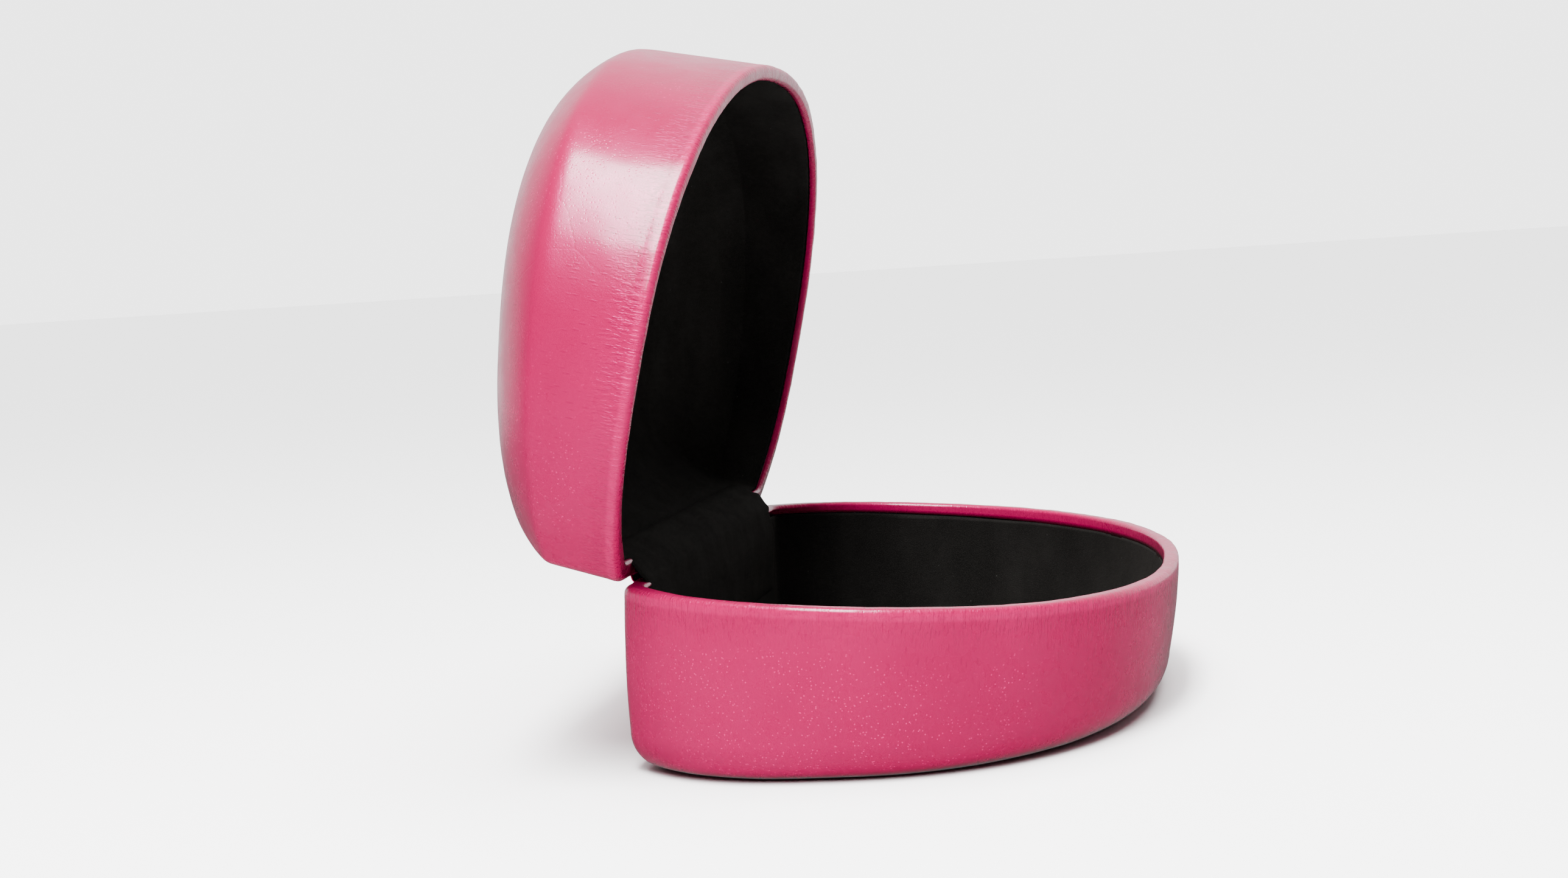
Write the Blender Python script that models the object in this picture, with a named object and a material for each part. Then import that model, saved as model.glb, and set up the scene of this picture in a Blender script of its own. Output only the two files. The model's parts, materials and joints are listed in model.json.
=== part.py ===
"""A leather-covered clamshell box, standing open: a tray and a domed lid on two sprung hinges.

The origin is on the flat underside, halfway between the hinge line and the front tip. X runs along
the hinge line, -Y points to the front and +Z up. Each half is drawn in its own rim frame: the
hinge axis is its X axis, the front lies along its -Y axis and the rim in its XY plane. An empty on
the hinge axis then stands the half in the world.
"""

import math

import bmesh
import bpy

# Outline of both halves, seen along Z. "Run" is a distance from the hinge line towards the front.
CASE_DEPTH = 0.090
CASE_WIDTH = 0.162
WIDEST_RUN = 0.0344
BACK_WIDTH = 0.129
REAR_POWER = 2.51
FRONT_POWER = 2.33
CORNER_RADIUS = 0.007
SMALLEST_CORNER = 0.001

# Tray
TRAY_BACK_DEPTH = 0.0314
TRAY_FRONT_DEPTH = 0.0245
TRAY_BULGE = 0.0012
TRAY_BULGE_POWER = 2.2
TRAY_EDGE_RADIUS = 0.0070
TRAY_HEM_BACK = 0.0020
TRAY_HEM_FRONT = 0.0034

# Lid
LID_BACK_HEIGHT = 0.0135
LID_FRONT_HEIGHT = 0.0241
LID_LEAN = 0.0007
LID_DOME = 0.0136
LID_DOME_POWER = 5.8
LID_DOME_RUN = 0.0423
LID_HEM = 0.0014
OPEN_ANGLE = math.radians(80.5)

# Layers of a wall, from outside to inside
LEATHER = 0.0008
SHELL = 0.0006
LINING = 0.0008
GAP = 0.0003
RIM_GAP = 0.0003
RIM_ROUND = 0.0007
RIM_CORNER = 0.3 * RIM_ROUND

# Hinges
HINGE_WIDTH = 0.030
HINGE_SPACING = 0.062
LEAF = 0.0005
LEAF_LENGTH = 0.0100
BARREL_RADIUS = 0.0011
BARREL_BORE = BARREL_RADIUS - LEAF
BARREL_WRAP = math.radians(150)
PIN_RADIUS = 0.00045
MIDDLE_KNUCKLE = 0.0100
KNUCKLE_GAP = 0.0003
NOTCH_DEPTH = 0.0016
RIVET_HEAD_RADIUS = 0.0017
RIVET_RADIUS = 0.0010
RIVET_SPACING = 0.0210
RIVET_DROP = 0.0068
SPRING_THICKNESS = 0.0003
SPRING_WIDTH = 0.0080
SPRING_LENGTH = 0.0085
SPRING_TIP = math.radians(45)

# Strips over the hinges
STRIP = 0.0005
VELVET_WIDTH = 0.114
VELVET_ON_TRAY = 0.0180
VELVET_ON_LID = 0.0056
SPINE_WIDTH = 0.104
SPINE_LENGTH = 0.0095
SPINE_THICKNESS = 0.0006
SPINE_PART = math.radians(46)

HALF_WIDTH = CASE_WIDTH / 2
SHELL_OUT = LEATHER + GAP
SHELL_IN = SHELL_OUT + SHELL
HEM_OUT = SHELL_IN + GAP
HEM_IN = HEM_OUT + LEATHER
LINING_OUT = SHELL_IN + GAP
LINING_IN = LINING_OUT + LINING
LEAF_ROOM = LEAF + GAP
REAR_AXIS = WIDEST_RUN / (1 - (BACK_WIDTH / CASE_WIDTH) ** REAR_POWER) ** (1 / REAR_POWER)
TILT = math.atan((TRAY_BACK_DEPTH - TRAY_FRONT_DEPTH) / CASE_DEPTH)
HINGE_HEIGHT = TRAY_BACK_DEPTH * math.cos(TILT)

CORNER_STEPS = 4
REAR_STEPS = 8
FRONT_STEPS = 12
ROUND_STEPS = 4
TRAY_WALL_STEPS = (0.72, 0.40)
LID_WALL_STEPS = (0.62, 0.30)
DOME_STEPS = (0.25, 0.50, 0.68, 0.81, 0.90, 0.96, 1.0)
STRIP_STEPS = 3
SPINE_STEPS = 4
ARC_SIDES = 16
SHARP_ANGLE = math.radians(40)

# Where the search for a back corner starts and ends, as angles on the rear curve
CORNER_SEARCH = (0.05, 1.5)
CORNER_HALVINGS = 40

# Colour, roughness and metallic value of each material
FINISHES = {
    "leather": ((0.62, 0.030, 0.150), 0.32, 0.0),
    "velvet": ((0.006, 0.0055, 0.005), 0.95, 0.0),
    "shell_steel": ((0.50, 0.50, 0.52), 0.45, 1.0),
    "hinge_steel": ((0.50, 0.50, 0.52), 0.30, 1.0),
    "spring_steel": ((0.30, 0.31, 0.33), 0.28, 1.0),
    "rivet": ((0.72, 0.55, 0.28), 0.35, 1.0),
    "guide": ((0.50, 0.50, 0.52), 0.50, 0.0),
}


def clear_scene():
    for obj in list(bpy.data.objects):
        bpy.data.objects.remove(obj)


def add_material(name, colour, roughness, metallic):
    mat = bpy.data.materials.new(name)
    mat.use_nodes = True
    shader = mat.node_tree.nodes["Principled BSDF"]
    shader.inputs["Base Color"].default_value = (*colour, 1)
    shader.inputs["Roughness"].default_value = roughness
    shader.inputs["Metallic"].default_value = metallic
    mat.diffuse_color = (*colour, 1)


def add_object(name, bm, parent, mat, location=(0, 0, 0)):
    """Turns a bmesh into a named object that stands in its parent's frame."""
    bmesh.ops.recalc_face_normals(bm, faces=bm.faces)
    mesh = bpy.data.meshes.new(name)
    bm.to_mesh(mesh)
    bm.free()
    mesh.materials.append(mat)
    mesh.shade_smooth()
    mesh.set_sharp_from_angle(angle=SHARP_ANGLE)
    obj = bpy.data.objects.new(name, mesh)
    obj.location = location
    obj.parent = parent
    bpy.context.collection.objects.link(obj)
    return obj


def add_cutter(name, bm, parent, location=(0, 0, 0)):
    cutter = add_object(name, bm, parent, bpy.data.materials["guide"], location)
    cutter.hide_render = True
    cutter.display_type = "WIRE"
    return cutter


def cut(obj, cutter):
    """Takes the cutter's shape out of an object."""
    modifier = obj.modifiers.new(cutter.name, "BOOLEAN")
    modifier.operation = "DIFFERENCE"
    modifier.solver = "EXACT"
    modifier.object = cutter


# Outline ---------------------------------------------------------------------------------------


def rear_point(angle, inset):
    """A point (run, side) of the curve from the widest place (0) towards the back (90 degrees)."""
    run = WIDEST_RUN - (REAR_AXIS - inset) * math.sin(angle) ** (2 / REAR_POWER)
    side = (HALF_WIDTH - inset) * math.cos(angle) ** (2 / REAR_POWER)
    return run, side


def rear_normal(angle, inset):
    """The outward direction (run, side) of that curve."""
    power = 2 - 2 / REAR_POWER
    run = -(math.sin(angle) ** power) / (REAR_AXIS - inset)
    side = math.cos(angle) ** power / (HALF_WIDTH - inset)
    size = math.hypot(run, side)
    return run / size, side / size


def corner_angle(inset, back, radius):
    """Where a corner of this radius leaves the rear curve and still touches the back line."""
    low, high = CORNER_SEARCH
    for _ in range(CORNER_HALVINGS):
        middle = (low + high) / 2
        centre_run = rear_point(middle, inset)[0] - radius * rear_normal(middle, inset)[0]
        if centre_run > back + radius:
            low = middle
        else:
            high = middle
    return low


def half_outline(inset, back_room):
    """Points (run, side) from the back line round one side to the front tip."""
    back = inset + back_room
    radius = max(CORNER_RADIUS - inset, SMALLEST_CORNER)
    leave = corner_angle(inset, back, radius)
    run, side = rear_point(leave, inset)
    normal = rear_normal(leave, inset)
    centre = (run - radius * normal[0], side - radius * normal[1])
    sweep = math.atan2(normal[1], -normal[0])
    points = []
    for step in range(CORNER_STEPS + 1):
        turn = sweep * step / CORNER_STEPS
        points.append((centre[0] - radius * math.cos(turn), centre[1] + radius * math.sin(turn)))
    for step in range(1, REAR_STEPS + 1):
        points.append(rear_point(leave * (1 - step / REAR_STEPS), inset))
    front = CASE_DEPTH - WIDEST_RUN - inset
    for step in range(1, FRONT_STEPS + 1):
        angle = math.pi / 2 * (1 - step / FRONT_STEPS)
        run = WIDEST_RUN + front * math.cos(angle) ** (2 / FRONT_POWER)
        points.append((run, (HALF_WIDTH - inset) * math.sin(angle) ** (2 / FRONT_POWER)))
    return points


def outline(inset, back_room=0.0):
    """The closed outline as points (x, run), set in from the outer one on all sides."""
    half = half_outline(inset, back_room)
    right = [(side, run) for run, side in half]
    left = [(-side, run) for run, side in reversed(half[:-1])]
    return right + left


# Stacks of rings -------------------------------------------------------------------------------


def ring(inset, height, back_room=0.0):
    """One closed ring in the rim frame; height is a function of the run."""
    return [(x, -run, height(run)) for x, run in outline(inset, back_room)]


def skin(rings):
    """A closed body through a list of rings with equal point counts, capped at both ends."""
    bm = bmesh.new()
    loops = [[bm.verts.new(point) for point in points] for points in rings]
    count = len(loops[0])
    for lower, upper in zip(loops, loops[1:]):
        for i in range(count):
            j = (i + 1) % count
            bm.faces.new((lower[i], lower[j], upper[j], upper[i]))
    bm.faces.new(list(reversed(loops[0])))
    bm.faces.new(loops[-1])
    return bm


def tray_depth(run):
    return TRAY_BACK_DEPTH + (TRAY_FRONT_DEPTH - TRAY_BACK_DEPTH) * run / CASE_DEPTH


def tray_hem(run):
    return TRAY_HEM_BACK + (TRAY_HEM_FRONT - TRAY_HEM_BACK) * run / CASE_DEPTH


def tray_bulge(share):
    """How far the wall has drawn in at a share of its height below the rim."""
    return TRAY_BULGE * share**TRAY_BULGE_POWER


def tray_surface(offset, back_room=0.0):
    """Rings of a surface this far inside the tray's outer face, from its floor up the wall."""
    rings = []
    reach = TRAY_EDGE_RADIUS - offset
    for step in range(ROUND_STEPS + 1):
        turn = math.pi / 2 * (1 - step / ROUND_STEPS)
        inset = TRAY_BULGE + TRAY_EDGE_RADIUS - reach * math.cos(turn)
        rise = TRAY_EDGE_RADIUS - reach * math.sin(turn)
        rings.append(ring(inset, lambda run, rise=rise: rise - tray_depth(run), back_room))
    for share in TRAY_WALL_STEPS:
        rings.append(ring(
            offset + tray_bulge(share),
            lambda run, share=share: -share * (tray_depth(run) - TRAY_EDGE_RADIUS),
            back_room,
        ))
    return rings


def lid_height(run):
    return LID_BACK_HEIGHT + (LID_FRONT_HEIGHT - LID_BACK_HEIGHT) * run / CASE_DEPTH


def lid_surface(offset, back_room=0.0):
    """Rings of a surface this far inside the lid's outer face, from its crown down the wall."""
    crease = outline(offset + LID_LEAN, back_room)
    rings = []
    for share in DOME_STEPS:
        crown = LID_DOME * (1 - share**LID_DOME_POWER) - offset
        points = []
        for x, run in crease:
            inner_run = LID_DOME_RUN + share * (run - LID_DOME_RUN)
            points.append((share * x, -inner_run, lid_height(inner_run) + crown))
        rings.append(points)
    for share in LID_WALL_STEPS:
        rings.append(ring(
            offset + LID_LEAN * share,
            lambda run, share=share: share * lid_height(run),
            back_room,
        ))
    return rings


def turned_rim(side, hem):
    """Rings of a cover's edge, over the rim and down the inside, for a tray (-1) or a lid (+1)."""
    top = RIM_GAP / 2
    profile = [
        (0, top + RIM_ROUND),
        (RIM_CORNER, top + RIM_CORNER),
        (RIM_ROUND, top),
        (HEM_IN - RIM_ROUND, top),
        (HEM_IN - RIM_CORNER, top + RIM_CORNER),
    ]
    rings = [ring(inset, lambda run, away=away: side * away) for inset, away in profile]
    rings.append(ring(HEM_IN, lambda run: side * hem(run)))
    rings.append(ring(HEM_OUT, lambda run: side * hem(run)))
    rings.append(ring(HEM_OUT, lambda run: side * (top + LEATHER)))
    rings.append(ring(LEATHER, lambda run: side * (top + LEATHER)))
    return rings


def shell_rim(side):
    edge = side * (RIM_GAP / 2 + LEATHER + GAP)
    return [ring(SHELL_OUT, lambda run: edge), ring(SHELL_IN, lambda run: edge)]


def lining_rim(side, hem):
    return [ring(inset, lambda run: side * (hem(run) + GAP), LEAF_ROOM)
            for inset in (LINING_OUT, LINING_IN)]


def add_layers(half, surface, side, hem, parent):
    """Adds one half's cover, shell and lining, each a closed skin with its rim."""
    outer = surface(0.0)
    add_object(f"{half}_cover", skin(outer + turned_rim(side, hem) + surface(LEATHER)[::-1]),
               parent, bpy.data.materials["leather"])
    add_object(f"{half}_shell",
               skin(surface(SHELL_OUT) + shell_rim(side) + surface(SHELL_IN)[::-1]),
               parent, bpy.data.materials["shell_steel"])
    lined = surface(LINING_OUT, LEAF_ROOM) + lining_rim(side, hem)
    add_object(f"{half}_lining", skin(lined + surface(LINING_IN, LEAF_ROOM)[::-1]),
               parent, bpy.data.materials["velvet"])


# Extruded and turned pieces --------------------------------------------------------------------


def extruded(profile, start, end):
    """A body with this outline of (y, z) points between two places along X."""
    bm = bmesh.new()
    ends = [[bm.verts.new((x, y, z)) for y, z in profile] for x in (start, end)]
    count = len(profile)
    for i in range(count):
        j = (i + 1) % count
        bm.faces.new((ends[0][i], ends[0][j], ends[1][j], ends[1][i]))
    bm.faces.new(ends[0])
    bm.faces.new(ends[1])
    return bm


def box(low, high):
    return extruded([(low[1], low[2]), (high[1], low[2]), (high[1], high[2]), (low[1], high[2])],
                    low[0], high[0])


def arc(radius, start, end, steps=ARC_SIDES // 2):
    """Points (y, z) round the hinge axis, from one angle to another, counted from +Y to +Z."""
    turns = [start + (end - start) * i / steps for i in range(steps + 1)]
    return [(radius * math.cos(turn), radius * math.sin(turn)) for turn in turns]


def turned(profile):
    """A body turned round the Y axis from (radius, y) points, closed on the axis at both ends."""
    bm = bmesh.new()
    loops = []
    for radius, y in profile:
        turns = [2 * math.pi * i / ARC_SIDES for i in range(ARC_SIDES)]
        loops.append([bm.verts.new((radius * math.cos(t), y, radius * math.sin(t))) for t in turns])
    for first, second in zip(loops, loops[1:]):
        for i in range(ARC_SIDES):
            j = (i + 1) % ARC_SIDES
            bm.faces.new((first[i], first[j], second[j], second[i]))
    bm.faces.new(loops[0])
    bm.faces.new(loops[-1])
    return bm


# Hinges ----------------------------------------------------------------------------------------


def draw_in(side, away):
    """How far a half's back wall has drawn in at a distance from the rim."""
    if side < 0:
        return tray_bulge(away / (TRAY_BACK_DEPTH - TRAY_EDGE_RADIUS))
    return LID_LEAN * away / LID_BACK_HEIGHT


def leaf_back(side, away):
    """Y of the face of a leaf that lies against its shell, at a distance from the rim."""
    return -(SHELL_IN + GAP + draw_in(side, away))


def leaf_profile(side):
    """Outline (y, z) of a hinge leaf: a plate, a neck over the shell's edge and a rolled barrel."""
    near = leaf_back(side, BARREL_RADIUS)
    foot = leaf_back(side, LEAF_LENGTH)
    top, end = math.pi / 2, -BARREL_WRAP
    plate = [(near - LEAF, BARREL_BORE), (foot - LEAF, LEAF_LENGTH), (foot, LEAF_LENGTH),
             (near, BARREL_RADIUS)]
    outside = arc(BARREL_RADIUS, top, end, ARC_SIDES)
    inside = arc(BARREL_BORE, end, top, ARC_SIDES)
    return [(y, side * z) for y, z in plate + outside + inside]


def hinge_leaf(name, side, centre, parent):
    """A leaf with its share of the barrel: the lid's has the middle knuckle, the tray's the rest."""
    half = HINGE_WIDTH / 2
    middle = MIDDLE_KNUCKLE / 2
    leaf = add_object(name, extruded(leaf_profile(side), -half, half), parent,
                      bpy.data.materials["hinge_steel"], (centre, 0, 0))
    reach = BARREL_RADIUS + GAP
    spans = [(-middle - KNUCKLE_GAP, middle + KNUCKLE_GAP)]
    if side > 0:
        spans = [(-half - GAP, -middle), (middle, half + GAP)]
    for i, (low, high) in enumerate(spans):
        cutter = box((low, -reach, -reach), (high, reach, reach))
        cut(leaf, add_cutter(f"{name}_slot_{i + 1}", cutter, parent, (centre, 0, 0)))
    return leaf


def spring_window(name, leaf, centre, parent):
    """An opening down the middle of the tray's leaf, for the spring."""
    half = SPRING_WIDTH / 2 + GAP
    far = leaf_back(-1, LEAF_LENGTH) - 2 * LEAF
    body = box((-half, far, -SPRING_LENGTH - GAP), (half, 0, BARREL_RADIUS))
    cut(leaf, add_cutter(f"{name}_window", body, parent, (centre, 0, 0)))


def spring(name, centre, parent):
    """A flat spring on the tray that bears on the lid's knuckle and snaps it past its centre."""
    near = leaf_back(-1, BARREL_RADIUS)
    foot = leaf_back(-1, SPRING_LENGTH)
    bend = BARREL_RADIUS + GAP
    tip = (-bend * math.sin(SPRING_TIP), -bend * math.cos(SPRING_TIP))
    over_edge = -NOTCH_DEPTH + GAP
    profile = [
        (foot, -SPRING_LENGTH),
        (near, over_edge),
        tip,
        (tip[0] - SPRING_THICKNESS, tip[1] + SPRING_THICKNESS),
        (near - SPRING_THICKNESS, over_edge + SPRING_THICKNESS),
        (foot - SPRING_THICKNESS, -SPRING_LENGTH),
    ]
    half = SPRING_WIDTH / 2
    return add_object(name, extruded(profile, -half, half), parent,
                      bpy.data.materials["spring_steel"], (centre, 0, 0))


def rivet(name, side, place, drop, seat, thickness, targets, parent):
    """A flush rivet through a leaf or spring and its shell, with a clearance hole in both."""
    outer = -(SHELL_OUT + draw_in(side, drop))
    inner = seat - thickness
    shank, head = RIVET_RADIUS, RIVET_HEAD_RADIUS
    body = [(shank, outer), (shank, seat), (head, seat), (head, inner)]
    location = (place, 0, side * drop)
    for target in targets:
        hole = [
            (shank + GAP, outer + LEATHER),
            (shank + GAP, seat + GAP / 2),
            (head + GAP, seat + GAP / 2),
            (head + GAP, inner - LEATHER),
        ]
        cutter = add_cutter(f"{name}_hole_{target.name}", turned(hole), parent, location)
        cut(target, cutter)
    return add_object(name, turned(body), parent, bpy.data.materials["rivet"], location)


def notch(name, side, centre, cover, shell, parent):
    """Room for the barrel and the leaf's neck in the edge of a cover and its shell."""
    half = HINGE_WIDTH / 2 + GAP
    hem = TRAY_HEM_BACK if side < 0 else LID_HEM
    deep = hem + LEATHER
    through = box((-half, -HEM_IN - GAP, -NOTCH_DEPTH), (half, LEATHER, NOTCH_DEPTH))
    behind = box((-half, -HEM_IN - GAP, -deep), (half, -HEM_OUT + GAP / 2, deep))
    opening = add_cutter(f"{name}_through", through, parent, (centre, 0, 0))
    cut(cover, opening)
    cut(shell, opening)
    cut(cover, add_cutter(f"{name}_hem", behind, parent, (centre, 0, 0)))


def hinge_half(hand, centre, half, side, parent):
    cover = bpy.data.objects[f"{half}_cover"]
    shell = bpy.data.objects[f"{half}_shell"]
    notch(f"{half}_notch_{hand}", side, centre, cover, shell, parent)
    leaf = hinge_leaf(f"{half}_hinge_leaf_{hand}", side, centre, parent)
    seat = leaf_back(side, RIVET_DROP)
    for number, along in ((1, -RIVET_SPACING / 2), (2, RIVET_SPACING / 2)):
        rivet(f"{half}_rivet_{hand}_{number}", side, centre + along, RIVET_DROP, seat, LEAF,
              (leaf, shell), parent)
    return leaf, shell


def hinge(hand, centre, tray, lid):
    leaf, shell = hinge_half(hand, centre, "tray", -1, tray)
    spring_window(f"tray_{hand}", leaf, centre, tray)
    strip = spring(f"snap_spring_{hand}", centre, tray)
    rivet(f"spring_rivet_{hand}", -1, centre, RIVET_DROP, leaf_back(-1, RIVET_DROP), SPRING_THICKNESS,
          (strip, shell), tray)
    hinge_half(hand, centre, "lid", 1, lid)
    half = HINGE_WIDTH / 2
    pin = extruded(arc(PIN_RADIUS, 0, 2 * math.pi, ARC_SIDES)[:-1], -half, half)
    add_object(f"hinge_pin_{hand}", pin, tray, bpy.data.materials["hinge_steel"], (centre, 0, 0))


# Strips ----------------------------------------------------------------------------------------


def velvet_strip(name, side, length, parent):
    """One half of the velvet over the hinges, against the lining's back wall."""
    start = RIM_GAP
    face = LINING_IN + LEAF_ROOM + GAP
    places = [start + (length - start) * i / STRIP_STEPS for i in range(STRIP_STEPS + 1)]
    wall = [(-(face + draw_in(side, away)), side * away) for away in places]
    inner = [(y - STRIP, z) for y, z in reversed(wall)]
    add_object(name, extruded(wall + inner, -VELVET_WIDTH / 2, VELVET_WIDTH / 2), parent,
               bpy.data.materials["velvet"])


def spine_strip(name, side, parent):
    """One half of the leather over the barrels, down a cover's back; it parts at the hinge line."""
    inner_radius = BARREL_RADIUS + GAP
    outer_radius = inner_radius + SPINE_THICKNESS
    inner_start = math.acos(GAP / inner_radius)
    outer_start = math.acos((GAP + SPINE_THICKNESS) / outer_radius)
    wall = [(GAP + SPINE_THICKNESS, SPINE_LENGTH), (GAP, SPINE_LENGTH)]
    inner = arc(inner_radius, inner_start, SPINE_PART, SPINE_STEPS)
    outer = arc(outer_radius, SPINE_PART, outer_start, SPINE_STEPS)
    profile = [(y, side * z) for y, z in wall + inner + outer]
    add_object(name, extruded(profile, -SPINE_WIDTH / 2, SPINE_WIDTH / 2), parent,
               bpy.data.materials["leather"])


def add_materials():
    for name, finish in FINISHES.items():
        add_material(name, *finish)


def frame_empty(name, parent, turn):
    empty = bpy.data.objects.new(name, None)
    empty.parent = parent
    empty.rotation_euler = (turn, 0, 0)
    bpy.context.collection.objects.link(empty)
    return empty


def build():
    clear_scene()
    add_materials()
    tray = frame_empty("tray_frame", None, TILT)
    tray.location = (0, CASE_DEPTH / 2, HINGE_HEIGHT)
    lid = frame_empty("lid_frame", tray, -OPEN_ANGLE)
    add_layers("tray", tray_surface, -1, tray_hem, tray)
    add_layers("lid", lid_surface, 1, lambda run: LID_HEM, lid)
    for hand, place in (("left", -HINGE_SPACING / 2), ("right", HINGE_SPACING / 2)):
        hinge(hand, place, tray, lid)
    velvet_strip("tray_velvet_strip", -1, VELVET_ON_TRAY, tray)
    velvet_strip("lid_velvet_strip", 1, VELVET_ON_LID, lid)
    spine_strip("tray_spine_leather", -1, tray)
    spine_strip("lid_spine_leather", 1, lid)


build()
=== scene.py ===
"""Looks of the leather clamshell box: fine leather skins, velvet linings and the strips at the hinge.

Both halves are drawn in a rim frame, as in the CAD: the hinge axis is its X axis, the front lies
along -Y and the rim in its XY plane. "Run" is the distance from the hinge line towards the front.
"""

import json
import math

import bpy
import numpy as np
from mathutils import Matrix, Vector, noise


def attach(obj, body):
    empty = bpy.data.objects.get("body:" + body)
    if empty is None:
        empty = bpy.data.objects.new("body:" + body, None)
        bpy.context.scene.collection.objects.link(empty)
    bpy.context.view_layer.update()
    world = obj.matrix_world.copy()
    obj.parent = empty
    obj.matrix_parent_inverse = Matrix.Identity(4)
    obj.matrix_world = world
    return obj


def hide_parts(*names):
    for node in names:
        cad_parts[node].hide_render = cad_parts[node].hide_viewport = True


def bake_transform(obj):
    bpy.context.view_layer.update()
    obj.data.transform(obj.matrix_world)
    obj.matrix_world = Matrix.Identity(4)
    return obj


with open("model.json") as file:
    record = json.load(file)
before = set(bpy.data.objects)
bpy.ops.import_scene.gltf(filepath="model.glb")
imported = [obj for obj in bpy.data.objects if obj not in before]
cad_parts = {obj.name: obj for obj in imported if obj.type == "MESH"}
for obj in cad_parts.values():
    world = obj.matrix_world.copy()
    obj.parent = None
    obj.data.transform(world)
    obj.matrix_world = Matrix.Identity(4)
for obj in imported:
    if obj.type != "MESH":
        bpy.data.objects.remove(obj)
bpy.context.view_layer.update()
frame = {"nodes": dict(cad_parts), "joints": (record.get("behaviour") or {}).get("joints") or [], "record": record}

# Outline, as in the CAD
CASE_DEPTH = 0.090
HALF_WIDTH = 0.081
WIDEST_RUN = 0.0344
BACK_SHARE = 0.129 / 0.162
REAR_POWER = 2.51
FRONT_POWER = 2.33
CORNER_RADIUS = 0.007
SMALLEST_CORNER = 0.001
REAR_AXIS = WIDEST_RUN / (1 - BACK_SHARE**REAR_POWER) ** (1 / REAR_POWER)

# Tray and lid, as in the CAD
TRAY_BACK_DEPTH = 0.0314
TRAY_FRONT_DEPTH = 0.0245
TRAY_BULGE = 0.0012
TRAY_BULGE_POWER = 2.2
TRAY_EDGE_RADIUS = 0.0070
TRAY_HEM = (0.0020, 0.0034)
LID_BACK_HEIGHT = 0.0135
LID_FRONT_HEIGHT = 0.0241
LID_LEAN = 0.0007
LID_LEAN_AT_RIM = 0.2
LID_DOME = 0.0136
LID_DOME_POWER = 5.8
LID_DOME_RUN = 0.0423
LID_FOLD_REACH = 3
LID_FOLD_ROUNDS = 6
LID_HEM = (0.0014, 0.0014)
OPEN_ANGLE = math.radians(80.5)
TILT = math.atan((TRAY_BACK_DEPTH - TRAY_FRONT_DEPTH) / CASE_DEPTH)

# Layers, as in the CAD
LEATHER = 0.0008
HEM_OUT = 0.0020
HEM_IN = 0.0028
LINING_OUT = 0.0020
LINING_IN = 0.0028
LEAF_ROOM = 0.0008
GAP = 0.0003
RIM_GAP = 0.0003
RIM_ZONE = 0.0030
HINGE_CENTRE = 0.031
HINGE_HALF = 0.0153
HINGE_FADE = 0.0012
HINGE_RUN = 0.0045
NOTCH = 0.0015
NOTCH_RUN = 0.0012

# How the rim is eased at the back corners: where that starts and ends, and how far it goes
CORNER_SIDE = (0.0520, 0.0600)
CORNER_RUN = (0.004, 0.014)
CORNER_DROP = 0.0002
CORNER_PULL = 0.0007

# The rim's rounding, outside and inside
RIM_OUTER = 0.0010
RIM_INNER = 0.0008
RIM_SHOULDER = 0.0012
RIM_LIFT = 1.3

# Heights of the relief in the skins, and where it fades out, by distance from the rim
DENT_HEIGHT = 0.00010
FINE_DENT_HEIGHT = 0.00002
DENT_ZONE = (0.030, 0.045)
GATHER_HEIGHT = 0.00007
WIDE_GATHER_HEIGHT = 0.00010
GATHER_REACH = 0.0035
GATHER_START = 0.0006
GATHER_ON_RIM = 0.6
VELVET_WAVE_HEIGHT = 0.00008

# Strips over the hinges
VELVET_HALF = 0.0595
VELVET_ON_TRAY = 0.0180
VELVET_ON_LID = 0.0056
VELVET_OVER_RIM = 0.0027
VELVET_THICKNESS = 0.0005
VELVET_TRAY_BEND = 0.006
VELVET_LID_BEND = 0.005
VELVET_ROUND = 0.04
VELVET_COLUMNS = 93
SPINE_HALF = 0.052
SPINE_LENGTH = 0.0095
SPINE_INNER = 0.0014
SPINE_THICKNESS = 0.0006
SPINE_SEAT = 0.00008
SPINE_SETTLES = 0.0030
SPINE_COLUMNS = 81

# A strip's edges are pared down to this share of its thickness, over this width
SKIVED = 0.35
SKIVE_WIDTH = 0.0022

# Steps of the fine meshes; the dome's rings start near its middle and crowd towards its edge
DOME_START = 0.06
DOME_CROWDING = 1.7
BACK_STEPS = 46
CORNER_STEPS = 10
REAR_STEPS = 44
FRONT_STEPS = 84
INNER_WALL_STEPS = 4
INNER_STEPS = {"tray": {"round_steps": 6}, "lid": {"dome_steps": 10}}

# Where the search for a back corner starts and ends, as angles on the rear curve
CORNER_SEARCH = (0.05, 1.5)
CORNER_HALVINGS = 40

# Camera, at the photograph's viewing angle
CAMERA_TURN = 9.802
CAMERA_RISE = 3.837
CAMERA_ROLL = -3.630
CAMERA_DISTANCE = 0.46835
CAMERA_LENS = 56.997
CAMERA_TARGET = (0, 0.02765, 0.04957)

# Strengths of the studio: the world by direction, the world as the camera sees it, and the sun
WORLD_FRONT = 0.05
WORLD_BEHIND = 1.3
WORLD_ABOVE = 0.15
WORLD_BELOW = 0.2
WORLD_SEEN = 3.5
OVERHEAD = 10.0
FLOOR_SIZE = 60.0
FLOOR_DROP = 0.0001

hinge_joint = frame["joints"][0]
HINGE = Vector(hinge_joint["pos_m"])
TRAY_FRAME = Matrix.Translation(HINGE) @ Matrix.Rotation(TILT, 4, "X")
LID_FRAME = TRAY_FRAME @ Matrix.Rotation(-OPEN_ANGLE, 4, "X")


# Outline ---------------------------------------------------------------------------------------


def rear_point(angle, inset):
    run = WIDEST_RUN - (REAR_AXIS - inset) * np.sin(angle) ** (2 / REAR_POWER)
    side = (HALF_WIDTH - inset) * np.cos(angle) ** (2 / REAR_POWER)
    return run, side


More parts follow.
